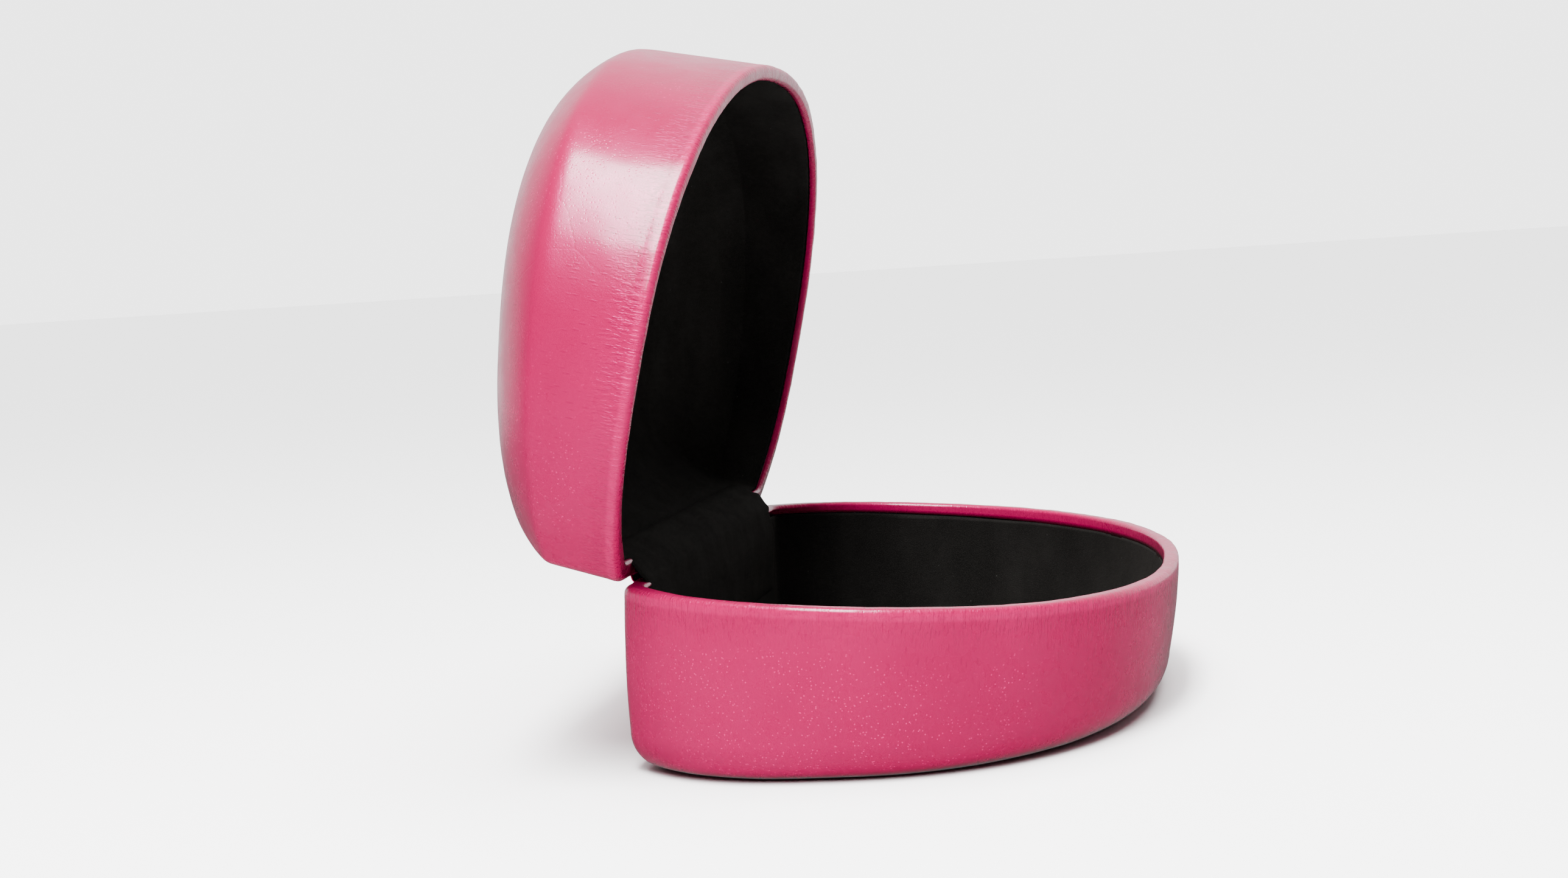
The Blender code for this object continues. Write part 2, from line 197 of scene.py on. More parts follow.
def rear_normal(angle, inset):
    power = 2 - 2 / REAR_POWER
    run = -(math.sin(angle) ** power) / (REAR_AXIS - inset)
    side = math.cos(angle) ** power / (HALF_WIDTH - inset)
    size = math.hypot(run, side)
    return run / size, side / size


def corner_angle(inset, back, radius):
    """Where a corner of this radius leaves the rear curve and still touches the back line."""
    low, high = CORNER_SEARCH
    for _ in range(CORNER_HALVINGS):
        middle = (low + high) / 2
        centre_run = rear_point(middle, inset)[0] - radius * rear_normal(middle, inset)[0]
        if centre_run > back + radius:
            low = middle
        else:
            high = middle
    return low


def outline(inset, back_room=0.0):
    """Points (x, run) of the closed outline, from the back's middle round the +X side."""
    back = inset + back_room
    radius = max(CORNER_RADIUS - inset, SMALLEST_CORNER)
    leave = corner_angle(inset, back, radius)
    run, side = rear_point(leave, inset)
    normal = rear_normal(leave, inset)
    centre_run, centre_side = run - radius * normal[0], side - radius * normal[1]
    line = np.linspace(0, centre_side, BACK_STEPS, endpoint=False)
    sweep = np.linspace(0, math.atan2(normal[1], -normal[0]), CORNER_STEPS, endpoint=False)
    rear = rear_point(np.linspace(leave, 0, REAR_STEPS, endpoint=False), inset)
    angle = np.linspace(math.pi / 2, 0, FRONT_STEPS + 1)
    front_run = WIDEST_RUN + (CASE_DEPTH - WIDEST_RUN - inset) * np.cos(angle) ** (2 / FRONT_POWER)
    front_side = (HALF_WIDTH - inset) * np.sin(angle) ** (2 / FRONT_POWER)
    runs = np.concatenate([np.full(BACK_STEPS, back), centre_run - radius * np.cos(sweep),
                           rear[0], front_run])
    sides = np.concatenate([line, centre_side + radius * np.sin(sweep), rear[1], front_side])
    xs = np.concatenate([sides, -sides[-2:0:-1]])
    return xs, np.concatenate([runs, runs[-2:0:-1]])


def ring(inset, height, back_room=0.0):
    """One closed ring of points in the rim frame; height is a function of the run."""
    xs, runs = outline(inset, back_room)
    return np.column_stack([xs, -runs, height(runs) + 0 * runs])


def along(pair, run):
    """A value that changes evenly from the back to the front."""
    return pair[0] + (pair[1] - pair[0]) * run / CASE_DEPTH


def tray_depth(run):
    return along((TRAY_BACK_DEPTH, TRAY_FRONT_DEPTH), run)


def lid_height(run):
    return along((LID_BACK_HEIGHT, LID_FRONT_HEIGHT), run)


def smooth(low, high, value):
    share = np.clip((value - low) / (high - low), 0, 1)
    return share * share * (3 - 2 * share)


# Surfaces as lists of rings --------------------------------------------------------------------


def tray_surface(offset, back_room=0.0, wall_steps=26, round_steps=14):
    """Rings this far inside the tray's outer face, from its floor up to just below the rim."""
    rings = []
    reach = TRAY_EDGE_RADIUS - offset
    for turn in np.linspace(math.pi / 2, 0, round_steps + 1):
        inset = TRAY_BULGE + TRAY_EDGE_RADIUS - reach * math.cos(turn)
        rise = TRAY_EDGE_RADIUS - reach * math.sin(turn)
        rings.append(ring(inset, lambda run, rise=rise: rise - tray_depth(run), back_room))
    for share in np.linspace(1, 0, wall_steps + 1)[1:]:
        whole = RIM_ZONE / (TRAY_BACK_DEPTH - TRAY_EDGE_RADIUS)
        inset = offset + TRAY_BULGE * (whole + (1 - whole) * share) ** TRAY_BULGE_POWER
        height = lambda run, share=share: -(
            RIM_ZONE + share * (tray_depth(run) - TRAY_EDGE_RADIUS - RIM_ZONE))
        rings.append(ring(inset, height, back_room))
    return rings


def lid_surface(offset, back_room=0.0, dome_steps=30, wall_steps=24):
    """Rings this far inside the lid's outer face, from its crown down to just above the rim."""
    xs, runs = outline(offset + LID_LEAN, back_room)
    rings = []
    for step in np.linspace(DOME_START, 1, dome_steps + 1):
        share = 1 - (1 - step) ** DOME_CROWDING
        crown = LID_DOME * (1 - share**LID_DOME_POWER) - offset
        inner = LID_DOME_RUN + share * (runs - LID_DOME_RUN)
        rings.append(np.column_stack([share * xs, -inner, lid_height(inner) + crown]))
    crease = len(rings) - 1
    for share in np.linspace(1, 0, wall_steps + 1)[1:]:
        height = lambda run, share=share: RIM_ZONE + share * (lid_height(run) - offset - RIM_ZONE)
        lean = LID_LEAN_AT_RIM + (1 - LID_LEAN_AT_RIM) * share
        rings.append(ring(offset + LID_LEAN * lean, height, back_room))
    return soften(rings, crease, LID_FOLD_REACH, LID_FOLD_ROUNDS)


def soften(rings, centre, reach, times):
    """Rounds the fold at one ring by averaging it and its neighbours along the profile."""
    stack = np.array(rings)
    for _ in range(times):
        low, high = max(centre - reach, 1), centre + reach + 1
        stack[low:high] = (stack[low - 1:high - 1] + 2 * stack[low:high]
                           + stack[low + 1:high + 1]) / 4
    return list(stack)


def hinge_room(xs):
    """1 where the rim makes room for a hinge's barrel, else 0."""
    away = np.abs(np.abs(xs) - HINGE_CENTRE)
    return 1 - smooth(HINGE_HALF, HINGE_HALF + HINGE_FADE, away)


def corner_share(points):
    """1 at the two back corners, fading to 0 over about a centimetre."""
    at_side = smooth(*CORNER_SIDE, np.abs(points[:, 0]))
    return at_side * (1 - smooth(*CORNER_RUN, -points[:, 1]))


def turned_rim(side, hem, steps=7):
    """Rings over the rim and down the inside; side is -1 for the tray and +1 for the lid."""
    top = RIM_GAP / 2
    profile = []
    for turn in np.linspace(0, math.pi / 2, steps):
        profile.append((RIM_OUTER * (1 - math.cos(turn)),
                        top + RIM_OUTER * (1 - math.sin(turn)), "edge"))
    profile[0] = (0, top + RIM_LIFT * RIM_OUTER, "edge")
    for turn in np.linspace(math.pi / 2, 0, steps):
        profile.append((HEM_IN - RIM_INNER * (1 - math.cos(turn)),
                        top + RIM_INNER * (1 - math.sin(turn)), "top"))
    rings = []
    for inset, away, part in profile:
        rings.append(shape_rim(ring(inset, lambda run, away=away: away), inset, part))
    for share in (0.5, 1.0):
        height = lambda run, share=share: (
            top + RIM_INNER + share * (along(hem, run) - top - RIM_INNER))
        rings.append(shape_rim(ring(HEM_IN, height), HEM_IN, "hem"))
    rings.append(shape_rim(ring(HEM_OUT, lambda run: along(hem, run)), HEM_OUT, "hem"))
    rings.append(shape_rim(ring(HEM_OUT, lambda run: top + LEATHER), HEM_OUT, "hem"))
    rings.append(ring(LEATHER, lambda run: top + LEATHER + NOTCH))
    for points in rings:
        points[:, 2] *= side
    return rings


def shape_rim(points, inset, part):
    """Eases the rim at the back corners and takes the whole rim back over the hinges."""
    at_corner = corner_share(points)
    if part == "edge":
        points[:, 2] += CORNER_DROP * at_corner * (1 - smooth(0, RIM_SHOULDER, inset))
    if part == "top":
        points[:, 1] -= CORNER_PULL * at_corner
    at_hinge = hinge_room(points[:, 0]) * (points[:, 1] > -HINGE_RUN)
    points[:, 2] += NOTCH * at_hinge
    points[:, 1] += at_hinge * (np.maximum(points[:, 1], -NOTCH_RUN) - points[:, 1])
    return points


# Meshes ----------------------------------------------------------------------------------------


def wrap_coordinates(rings, rim_ring):
    """For each point, its distance round from the front tip and its distance from the rim."""
    stack = np.array(rings)
    base = stack[rim_ring]
    steps = np.linalg.norm(np.roll(base, -1, 0) - base, axis=1)
    tip = len(base) // 2
    round_way = np.zeros(len(base))
    round_way[tip:] = np.concatenate([[0], np.cumsum(steps[tip:-1])])
    round_way[:tip] = -np.cumsum(steps[:tip][::-1])[::-1]
    down = np.linalg.norm(np.diff(stack, axis=0), axis=2)
    down = np.concatenate([np.zeros((1, len(base))), np.cumsum(down, 0)])
    down = np.abs(down - down[rim_ring])
    around = np.broadcast_to(round_way, down.shape)
    return np.stack([around, down, 0 * down], axis=2).reshape(-1, 3)


def mesh_object(name, points, faces, wrap=None):
    mesh = bpy.data.meshes.new(name)
    mesh.from_pydata([tuple(p) for p in points], [], faces)
    if wrap is not None:
        layer = mesh.attributes.new("wrap", "FLOAT_VECTOR", "POINT")
        layer.data.foreach_set("vector", wrap.astype(np.float32).ravel())
    mesh.shade_smooth()
    mesh.validate()
    obj = bpy.data.objects.new(name, mesh)
    bpy.context.collection.objects.link(obj)
    return obj


def stack_faces(levels, count, flip):
    faces = []
    for level in range(levels - 1):
        for i in range(count):
            j = (i + 1) % count
            a, b = level * count, (level + 1) * count
            face = (a + i, a + j, b + j, b + i)
            faces.append(face[::-1] if flip else face)
    first = tuple(range(count))
    last = tuple(range((levels - 1) * count, levels * count))
    faces.append(first if flip else first[::-1])
    faces.append(last[::-1] if flip else last)
    return faces


def skin(name, rings, rim_ring, place, flip, rim_detail=None):
    """A closed body through the rings, put in the world by the half's rim frame."""
    wrap = wrap_coordinates(rings, rim_ring)
    points = np.concatenate(rings)
    if rim_detail is not None:
        points = rim_detail(points, wrap, len(rings))
    world = np.array(place)
    points = points @ world[:3, :3].T + world[:3, 3]
    faces = stack_faces(len(rings), len(rings[0]), flip)
    return mesh_object(name, points, faces, wrap)


def leather_relief(points, wrap, levels):
    """Moves the outer points of a leather skin in and out: soft dents and gathers at the rim."""
    count = len(points) // levels
    grid = points.reshape(levels, count, 3)
    across = np.roll(grid, -1, 1) - np.roll(grid, 1, 1)
    up = np.gradient(grid, axis=0)
    normal = np.cross(across, up)
    normal /= np.linalg.norm(normal, axis=2, keepdims=True) + 1e-12
    normal = normal.reshape(-1, 3)
    moved = points.copy()
    for i, (point, (around, down, _)) in enumerate(zip(points, wrap)):
        fade = 1 - smooth(*DENT_ZONE, down)
        dents = noise.noise(Vector(point) * 70) * DENT_HEIGHT
        dents += noise.noise(Vector(point) * 260) * FINE_DENT_HEIGHT
        near = math.exp(-down / GATHER_REACH) if down > GATHER_START else GATHER_ON_RIM
        gathers = noise.noise(Vector((around * 620, down * 110, 3.0))) * GATHER_HEIGHT * near
        gathers += noise.noise(Vector((around * 230, down * 60, 9.0))) * WIDE_GATHER_HEIGHT * near
        moved[i] = point + normal[i] * (dents * fade + gathers)
    return moved


# Pieces ----------------------------------------------------------------------------------------


def cover(half, side, surface, hem, place, flip):
    outer = surface(0.0)
    rim = turned_rim(side, hem)
    inner = surface(LEATHER, wall_steps=INNER_WALL_STEPS, **INNER_STEPS[half])[::-1]
    obj = skin(f"{half}_leather", outer + rim + inner, len(outer), place, flip, leather_relief)
    obj.data.materials.append(leather)
    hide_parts(f"{half}_cover")
    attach(obj, half)
    return obj


def velvet_relief(points, wrap, levels):
    moved = points.copy()
    for i, point in enumerate(points):
        moved[i, 2] += noise.noise(Vector(point) * 120) * VELVET_WAVE_HEIGHT
    return moved


def lining(half, side, surface, hem, place, flip):
    """The velvet inside of one half; its edge is rounded where it meets the turned leather."""
    outer = surface(LINING_OUT, LEAF_ROOM, wall_steps=INNER_WALL_STEPS, **INNER_STEPS[half])
    edge = []
    thickness = LINING_IN - LINING_OUT
    for inset, drop in ((0.0, 0.25), (0.25, 0.05), (0.6, 0.0), (0.85, 0.12), (1.0, 0.5)):
        height = lambda run, drop=drop: side * (along(hem, run) + GAP / 2 + drop * thickness)
        edge.append(ring(LINING_OUT + inset * thickness, height, LEAF_ROOM))
    inner = surface(LINING_IN, LEAF_ROOM)[::-1]
    obj = skin(f"{half}_velvet", outer + edge + inner, len(outer), place, flip, velvet_relief)
    obj.data.materials.append(velvet)
    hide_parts(f"{half}_lining")
    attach(obj, half)
    return obj


def strip_mesh(name, path, thickness, half_width, columns, relief):
    """A thin closed sheet along X over a path of (y, z) points in the tray's rim frame."""
    path = np.array(path)
    lean = np.gradient(path, axis=0)
    lean /= np.linalg.norm(lean, axis=1, keepdims=True)
    normal = np.column_stack([lean[:, 1], -lean[:, 0]])
    xs = np.linspace(-half_width, half_width, columns)
    along = np.append(0.0, np.cumsum(np.linalg.norm(np.diff(path, axis=0), axis=1)))
    rows = len(path)
    points = []
    for level in (0, 1):
        for r in range(rows):
            for x in xs:
                edge = min(half_width - abs(x), along[r], along[-1] - along[r])
                thick = thickness * (SKIVED + (1 - SKIVED) * smooth(0.0, SKIVE_WIDTH, edge))
                y, z = path[r] + normal[r] * (level * thick + relief(x, r / (rows - 1)))
                points.append((x, y, z))
    world = np.array(TRAY_FRAME)
    points = np.array(points) @ world[:3, :3].T + world[:3, 3]
    top = rows * columns
    faces = []
    for r in range(rows - 1):
        for c in range(columns - 1):
            a = r * columns + c
            faces.append((a, a + 1, a + columns + 1, a + columns))
            faces.append((top + a, top + a + columns, top + a + columns + 1, top + a + 1))
    edge = list(range(columns))
    edge += [r * columns + columns - 1 for r in range(1, rows)]
    edge += [(rows - 1) * columns + c for c in range(columns - 2, -1, -1)]
    edge += [r * columns for r in range(rows - 2, 0, -1)]
    for a, b in zip(edge, edge[1:] + edge[:1]):
        faces.append((b, a, top + a, top + b))
    return mesh_object(name, points, faces)


def turned_to_lid(y, z):
    """A (y, z) point of the lid's rim frame, in the tray's rim frame."""
    c, s = math.cos(-OPEN_ANGLE), math.sin(-OPEN_ANGLE)
    return y * c - z * s, y * s + z * c


def velvet_strip():
    """The velvet over the hinges: down the tray's back wall, across, and up the lid's."""
    face = LINING_IN + LEAF_ROOM + GAP

    def inset(away, bend):
        """How far in front of the hinge line the strip runs; past the bend it is on the lining."""
        return VELVET_OVER_RIM + (face - VELVET_OVER_RIM) * smooth(0, bend, away)

    away = [VELVET_ON_TRAY * (1 - i / 16) for i in range(16)]
    tray_part = [(-inset(d, VELVET_TRAY_BEND), -d) for d in away]
    away = [VELVET_ON_LID * i / 8 for i in range(1, 9)]
    lid_part = [turned_to_lid(-inset(d, VELVET_LID_BEND), d) for d in away]
    start = np.array((-VELVET_OVER_RIM, 0.0))
    end = np.array(turned_to_lid(-VELVET_OVER_RIM, 0.0))
    bridge = []
    for i in range(11):
        share = i / 10
        chord = start + (end - start) * share
        arc = chord / np.linalg.norm(chord) * VELVET_OVER_RIM
        bridge.append(tuple(chord + VELVET_ROUND * (arc - chord)))
    path = tray_part + bridge + lid_part

    def relief(x, share):
        wrinkle = noise.noise(Vector((x * 120, share * 6, 0.0))) * 0.00018
        return wrinkle * (1 - smooth(0.7, 1.0, share)) * smooth(0.0, 0.12, share)

    obj = strip_mesh("hinge_velvet", path, -VELVET_THICKNESS, VELVET_HALF,
                     VELVET_COLUMNS, relief)
    obj.data.materials.append(velvet_nap)
    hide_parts("tray_velvet_strip", "lid_velvet_strip")
    blend_over_hinge(obj)
    return obj


def blend_over_hinge(obj):
    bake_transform(obj)


def tray_lean(depth):
    """How far the tray's back wall has moved in at this depth below the rim."""
    return TRAY_BULGE * (depth / (TRAY_BACK_DEPTH - TRAY_EDGE_RADIUS)) ** TRAY_BULGE_POWER


def lid_lean(height):
    """How far the lid's back wall has moved in at this height above the rim."""
    share = (height - RIM_ZONE) / (LID_BACK_HEIGHT - RIM_ZONE)
    return LID_LEAN * max(LID_LEAN_AT_RIM + (1 - LID_LEAN_AT_RIM) * share, 0)


def spine_strip():
    """The leather over the barrels: up the tray's back, round the barrel and down the lid."""
    start = -math.acos(GAP / SPINE_INNER)
    end = -start - OPEN_ANGLE
    low = SPINE_INNER * math.sin(start)

    def seat(away, lean):
        """Where the strip lies over a wall: clear of it at the barrel, against it further on."""
        return GAP + (SPINE_SEAT - GAP) * smooth(0, SPINE_SETTLES, away + low) - lean(away)

    reach = SPINE_LENGTH + low
    tray_part = []
    for i in range(10):
        away = SPINE_LENGTH - reach * i / 10
        tray_part.append((seat(away, tray_lean), -away))
    bridge = []
    for i in range(15):
        turn = start + (end - start) * i / 14
        bridge.append((SPINE_INNER * math.cos(turn), SPINE_INNER * math.sin(turn)))
    lid_part = []
    for i in range(1, 11):
        away = reach * i / 10 - low
        lid_part.append(turned_to_lid(seat(away, lid_lean), away))
    path = tray_part + bridge + lid_part

    def relief(x, share):
        return noise.noise(Vector((x * 300, share * 9, 4.0))) * 0.00005

    obj = strip_mesh("spine_leather", path, SPINE_THICKNESS, SPINE_HALF,
                     SPINE_COLUMNS, relief)
    obj.data.materials.append(leather)
    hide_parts("tray_spine_leather", "lid_spine_leather")
    blend_over_hinge(obj)
    return obj


# Materials -------------------------------------------------------------------------------------


class Shader:
    """A material's nodes, with short calls for the few kinds that are used here."""

    def __init__(self, name, **values):
        self.material = bpy.data.materials.new(name)
        self.material.use_nodes = True
        self.tree = self.material.node_tree
        self.shader = self.tree.nodes["Principled BSDF"]
        for socket, value in values.items():
            self.shader.inputs[socket.replace("_", " ")].default_value = value

    def node(self, kind, inputs=(), **settings):
        made = self.tree.nodes.new(kind)
        for key, value in settings.items():
            setattr(made, key, value)
        for socket, value in dict(inputs).items():
            if isinstance(value, bpy.types.NodeSocket):
                self.tree.links.new(value, made.inputs[socket])
            else:
                made.inputs[socket].default_value = value
        return made

    def link(self, output, socket):
        self.tree.links.new(output, self.shader.inputs[socket])

    def place(self):
        return self.node("ShaderNodeTexCoord").outputs["Object"]

    def scaled(self, vector, scale):
        return self.node("ShaderNodeVectorMath", {0: vector, 1: scale},
                         operation="MULTIPLY").outputs[0]

    def noise(self, vector, scale, detail=3.0, roughness=0.5):
        return self.node("ShaderNodeTexNoise", {
            "Vector": vector, "Scale": scale, "Detail": detail, "Roughness": roughness,
        }).outputs["Fac"]

    def math(self, operation, first, second=0.0, third=0.0):
        return self.node("ShaderNodeMath", {0: first, 1: second, 2: third},
                         operation=operation).outputs[0]

    def ramp(self, value, low, high, to_low=0.0, to_high=1.0):
        return self.node("ShaderNodeMapRange", {
            "Value": value, "From Min": low, "From Max": high, "To Min": to_low, "To Max": to_high,
        }, interpolation_type="SMOOTHSTEP").outputs["Result"]

    def mix(self, share, first, second):
        made = self.node("ShaderNodeMix", data_type="RGBA")
        for index, value in ((0, share), (6, first), (7, second)):
            if isinstance(value, bpy.types.NodeSocket):
                self.tree.links.new(value, made.inputs[index])
            else:
                made.inputs[index].default_value = value
        return made.outputs[2]

    def bump(self, height, distance, strength=1.0, below=None):
        inputs = {"Height": height, "Distance": distance, "Strength": strength}
        if below is not None:
            inputs["Normal"] = below
        return self.node("ShaderNodeBump", inputs).outputs["Normal"]


def leather_material():
    """Glossy dyed leather: fine pores, short wrinkles across the rims, a few long creases, with painted highlight
    specks on the pores and painted shade in the short grooves.
    """
    s = Shader("pink_leather", Roughness=0.30, Specular_IOR_Level=0.4,
               Specular_Tint=(1.0, 0.06, 0.38, 1), Coat_Weight=0.45,
               Coat_Roughness=0.17, Coat_IOR=1.5)
    place = s.place()
    wrap = s.node("ShaderNodeAttribute", attribute_name="wrap").outputs["Vector"]
    parts = s.node("ShaderNodeSeparateXYZ", {0: wrap})
    down = parts.outputs[1]

    pore_cells = s.node("ShaderNodeTexVoronoi", {"Vector": place, "Scale": 1500.0,
                                                 "Randomness": 1.0}, feature="F1")
    pores = s.ramp(pore_cells.outputs["Distance"], 0.05, 0.34)
    grain_cells = s.node("ShaderNodeTexVoronoi", {"Vector": place, "Scale": 2300.0},
                         feature="DISTANCE_TO_EDGE")
    grain = s.ramp(grain_cells.outputs["Distance"], 0.0, 0.10)
    patches = s.ramp(s.noise(place, 45.0, 2.0), 0.38, 0.58)

    near_rim = s.ramp(down, 0.0005, 0.0075, 1.0, 0.0)
    across = s.scaled(wrap, (1.0, 0.26, 1.0))
    dash_cells = s.node("ShaderNodeTexVoronoi", {"Vector": across, "Scale": 1350.0},
                        feature="F1")
    dashes = s.ramp(dash_cells.outputs["Distance"], 0.10, 0.32)
    dash_zone = s.ramp(down, 0.006, 0.020, 1.0, 0.0)
    wrinkles = s.ramp(s.noise(across, 1500.0, 2.0, 0.6), 0.40, 0.56)
    wide_wrinkles = s.ramp(s.noise(s.scaled(wrap, (1.0, 0.22, 1.0)), 520.0, 2.0), 0.44, 0.52)
    warped = s.node("ShaderNodeVectorMath", {0: place, 1: s.scaled(s.node(
        "ShaderNodeTexNoise", {"Vector": place, "Scale": 60.0}).outputs["Color"],
        (0.012, 0.012, 0.012))}, operation="ADD").outputs[0]
    crease_cells = s.node("ShaderNodeTexVoronoi", {"Vector": warped, "Scale": 34.0},
                          feature="DISTANCE_TO_EDGE")
    creases = s.ramp(crease_cells.outputs["Distance"], 0.0, 0.012)

    low = s.bump(creases, 0.00004, 0.30)
    low = s.bump(s.noise(place, 330.0, 3.0), 0.00006, 0.40, low)
    rim_height = s.math("MULTIPLY", wrinkles, near_rim)
    low = s.bump(rim_height, 0.00011, 0.8, low)
    low = s.bump(s.math("MULTIPLY", wide_wrinkles, near_rim), 0.00008, 0.40, low)
    dash_zone = s.math("MULTIPLY", dash_zone, s.ramp(patches, 0.0, 1.0, 1.0, 0.35))
    low = s.bump(s.math("MULTIPLY", dashes, dash_zone), 0.00006, 0.5, low)
    pore_height = s.math("MULTIPLY", pores, s.ramp(patches, 0.0, 1.0, 0.45, 1.0))
    low = s.bump(pore_height, 0.00004, 0.35, low)
    normal = s.bump(grain, 0.00002, 0.35, low)
    s.link(normal, "Normal")
    s.link(s.bump(pore_height, 0.00004, 0.35), "Coat Normal")

    tone = s.noise(place, 22.0, 3.0)
    deep, light = (0.188, 0.000, 0.032, 1), (0.226, 0.000, 0.041, 1)
    colour = s.mix(s.ramp(tone, 0.35, 0.65), deep, light)
    # Painted highlight: light specks at the pores, away from the rim, standing in for glints of light off the
    # grain.
    pore_glints = s.ramp(pore_cells.outputs["Distance"], 0.10, 0.24, 0.45, 0.0)
    pore_glints = s.math("MULTIPLY", pore_glints, patches)
    pore_glints = s.math("MULTIPLY", pore_glints, s.ramp(down, 0.003, 0.008))
    colour = s.mix(pore_glints, colour, (0.66, 0.006, 0.150, 1))
    # Painted shade: the short dashes near the rims are darkened, standing in for shade inside the grooves.
    groove_shade = s.math("MULTIPLY", s.ramp(dashes, 0.0, 1.0, 0.22, 0.0), dash_zone)
    colour = s.mix(groove_shade, colour, (0.09, 0.000, 0.014, 1))
    # Lighter pink in noisy patches within about a millimetre of the rim.
    rim_detail = s.math("MULTIPLY", s.ramp(down, 0.0003, 0.0010, 0.25, 0.0), s.noise(place, 700.0))
    colour = s.mix(rim_detail, colour, (0.60, 0.006, 0.130, 1))
    s.link(colour, "Base Color")
    shine = s.ramp(s.noise(place, 240.0, 4.0), 0.3, 0.7, 0.24, 0.34)
    s.link(shine, "Roughness")
    return s.material


def velvet_material(name, dark, light, scale):
    """Black velvet: a short pile that is a little lighter where it is brushed or turned away."""
    s = Shader(name, Roughness=0.95, Specular_IOR_Level=0.03, Sheen_Weight=0.015,
               Sheen_Roughness=0.45, Sheen_Tint=(0.60, 0.54, 0.50, 1))
    place = s.place()
    brushed = s.ramp(s.noise(s.scaled(place, (1.0, 1.0, 0.45)), scale, 4.0, 0.55), 0.35, 0.70)
    pile = s.noise(place, 5200.0, 2.0, 0.7)
    lint = s.node("ShaderNodeTexVoronoi", {"Vector": place, "Scale": 210.0}, feature="F1")
    fleck = s.ramp(lint.outputs["Distance"], 0.020, 0.045, 0.5, 0.0)
    colour = s.mix(brushed, dark, light)
    colour = s.mix(s.ramp(pile, 0.35, 0.75, 0.0, 0.5), colour, (0.012, 0.011, 0.010, 1))
    colour = s.mix(fleck, colour, (0.030, 0.029, 0.027, 1))
    s.link(colour, "Base Color")
    normal = s.bump(s.noise(place, 480.0, 3.0), 0.0004, 0.30)
    s.link(s.bump(pile, 0.00016, 0.8, normal), "Normal")
    return s.material


def metal_material(name, colour, roughness, scale):
    """Plain sheet metal with fine rolling marks and a little tarnish."""
    s = Shader(name, Metallic=1.0)
    place = s.place()
    marks = s.noise(s.scaled(place, (0.04, 1.0, 1.0)), scale, 3.0)
    tarnish = s.ramp(s.noise(place, 160.0, 4.0), 0.45, 0.75)
    dull = tuple(0.72 * c for c in colour)
    s.link(s.mix(tarnish, (*colour, 1), (*dull, 1)), "Base Color")
    s.link(s.ramp(marks, 0.3, 0.7, roughness - 0.06, roughness + 0.12), "Roughness")
    s.link(s.bump(marks, 0.00002, 0.5), "Normal")
    return s.material


def paint_hidden_metal():
    """Gives the pressed shells and the hinge pieces, kept from the CAD, their metals."""
    metals = {
        "shell_steel": metal_material("pressed_steel", (0.50, 0.50, 0.52), 0.42, 900.0),
        "hinge_steel": metal_material("plated_steel", (0.58, 0.58, 0.60), 0.28, 2400.0),
        "spring_steel": metal_material("spring_steel", (0.30, 0.31, 0.33), 0.26, 2400.0),
        "rivet": metal_material("rivet_brass", (0.72, 0.55, 0.28), 0.32, 3000.0),
    }
    slots = {entry["node"]: entry["material_slot"] for entry in frame["record"]["subparts"]}
    for name, obj in frame["nodes"].items():
        metal = metals.get(slots[name])
        if metal:
            obj.data.materials.clear()
            obj.data.materials.append(metal)


# Studio ----------------------------------------------------------------------------------------


def view_direction():
    """Unit vector from the camera's target back to the camera."""
    turn, rise = math.radians(CAMERA_TURN), math.radians(CAMERA_RISE)
    return Vector((-math.cos(turn) * math.cos(rise), -math.sin(turn) * math.cos(rise),
                   math.sin(rise)))


def add_camera():
    data = bpy.data.cameras.new("camera")
    data.lens = CAMERA_LENS
    data.sensor_width = 36
    data.clip_start = 0.01
    camera = bpy.data.objects.new("camera", data)
    back = view_direction()
    right = Vector((0, 0, 1)).cross(back).normalized()
    up = back.cross(right)
    roll = math.radians(CAMERA_ROLL)
    rolled_right = right * math.cos(roll) + up * math.sin(roll)
    rolled_up = back.cross(rolled_right)
    turn = Matrix((rolled_right, rolled_up, back)).transposed().to_4x4()
    camera.matrix_world = Matrix.Translation(Vector(CAMERA_TARGET) + back * CAMERA_DISTANCE) @ turn
    bpy.context.collection.objects.link(camera)
    bpy.context.scene.camera = camera


def add_light(name, place, aim, size, power):
    data = bpy.data.lights.new(name, "AREA")
    data.shape = "RECTANGLE"
    data.size, data.size_y = size
    data.energy = power
    light = bpy.data.objects.new(name, data)
    light.location = place
    towards = Vector(aim) - Vector(place)
    light.rotation_euler = towards.to_track_quat("-Z", "Y").to_euler()
    bpy.context.collection.objects.link(light)


def add_floor():
    size = FLOOR_SIZE
    mesh = bpy.data.meshes.new("floor")
    corners = [(-size, -size, 0), (size, -size, 0), (size, size, 0), (-size, size, 0)]
    mesh.from_pydata(corners, [], [(0, 1, 2, 3)])
    floor = bpy.data.objects.new("floor", mesh)
    floor.location.z = -FLOOR_DROP
    floor.visible_glossy = False
    s = Shader("floor_paper", Base_Color=(0.90, 0.90, 0.90, 1), Roughness=0.9)
    mesh.materials.append(s.material)
    bpy.context.collection.objects.link(floor)


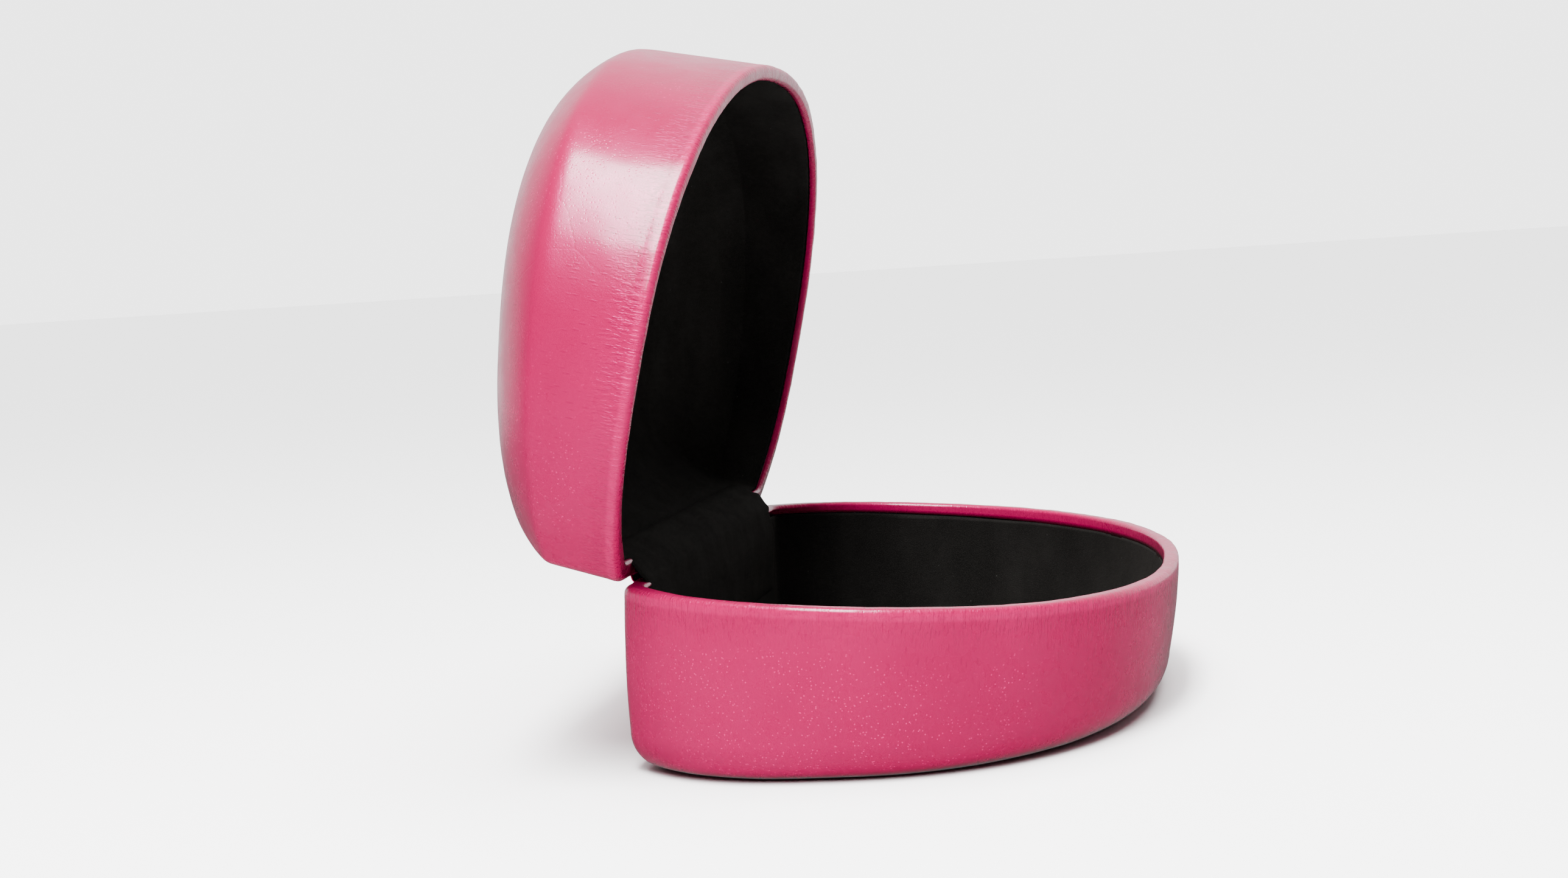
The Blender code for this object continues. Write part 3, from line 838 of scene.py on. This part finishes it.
def add_world():
    """White to the camera; as light, bright beyond the box, weaker above, dim in front and below."""
    world = bpy.data.worlds.new("studio")
    world.use_nodes = True
    tree = world.node_tree
    background = tree.nodes["Background"]
    output = tree.nodes["World Output"]
    place = tree.nodes.new("ShaderNodeTexCoord")
    parts = tree.nodes.new("ShaderNodeSeparateXYZ")
    tree.links.new(place.outputs["Generated"], parts.inputs[0])
    levels = []
    for axis, edges in ((0, (0.15, 0.95, WORLD_FRONT, WORLD_BEHIND)),
                        (2, (0.30, 0.95, 0.0, WORLD_ABOVE)),
                        (2, (-0.12, 0.0, WORLD_BELOW, 1.0))):
        level = tree.nodes.new("ShaderNodeMapRange")
        level.interpolation_type = "SMOOTHSTEP"
        for socket, value in zip(("From Min", "From Max", "To Min", "To Max"), edges):
            level.inputs[socket].default_value = value
        tree.links.new(parts.outputs[axis], level.inputs["Value"])
        levels.append(level.outputs["Result"])
    total = tree.nodes.new("ShaderNodeMath")
    dimmed = tree.nodes.new("ShaderNodeMath")
    dimmed.operation = "MULTIPLY"
    tree.links.new(levels[0], total.inputs[0])
    tree.links.new(levels[1], total.inputs[1])
    tree.links.new(total.outputs[0], dimmed.inputs[0])
    tree.links.new(levels[2], dimmed.inputs[1])
    tree.links.new(dimmed.outputs[0], background.inputs["Strength"])
    seen = tree.nodes.new("ShaderNodeBackground")
    seen.inputs["Strength"].default_value = WORLD_SEEN
    path = tree.nodes.new("ShaderNodeLightPath")
    mix = tree.nodes.new("ShaderNodeMixShader")
    tree.links.new(path.outputs["Is Camera Ray"], mix.inputs[0])
    tree.links.new(background.outputs[0], mix.inputs[1])
    tree.links.new(seen.outputs[0], mix.inputs[2])
    tree.links.new(mix.outputs[0], output.inputs["Surface"])
    background.inputs["Color"].default_value = (1, 1, 1, 1)
    seen.inputs["Color"].default_value = (1, 1, 1, 1)
    bpy.context.scene.world = world


def add_lights():
    middle = (0, 0.02, 0.07)
    add_light("core", (-0.33, 0.03, 0.68), middle, (0.15, 0.50), 21.0)
    add_light("glow", (-0.55, 0.03, 0.44), middle, (0.15, 0.22), 2.0)
    sky = bpy.data.lights.new("overhead", "SUN")
    sky.energy = OVERHEAD
    sky.angle = math.radians(60.0)
    overhead = bpy.data.objects.new("overhead", sky)
    overhead.visible_glossy = False
    bpy.context.collection.objects.link(overhead)


leather = leather_material()
velvet = velvet_material("black_velvet", (0.0030, 0.0028, 0.0026, 1),
                         (0.0060, 0.0056, 0.0052, 1), 90.0)
velvet_nap = velvet_material("brushed_velvet", (0.0022, 0.0021, 0.0019, 1),
                             (0.0050, 0.0047, 0.0043, 1), 150.0)
cover("tray", -1, tray_surface, TRAY_HEM, TRAY_FRAME, False)
cover("lid", 1, lid_surface, LID_HEM, LID_FRAME, True)
lining("tray", -1, tray_surface, TRAY_HEM, TRAY_FRAME, False)
lining("lid", 1, lid_surface, LID_HEM, LID_FRAME, True)
velvet_strip()
spine_strip()
paint_hidden_metal()
add_floor()
add_world()
add_lights()
add_camera()
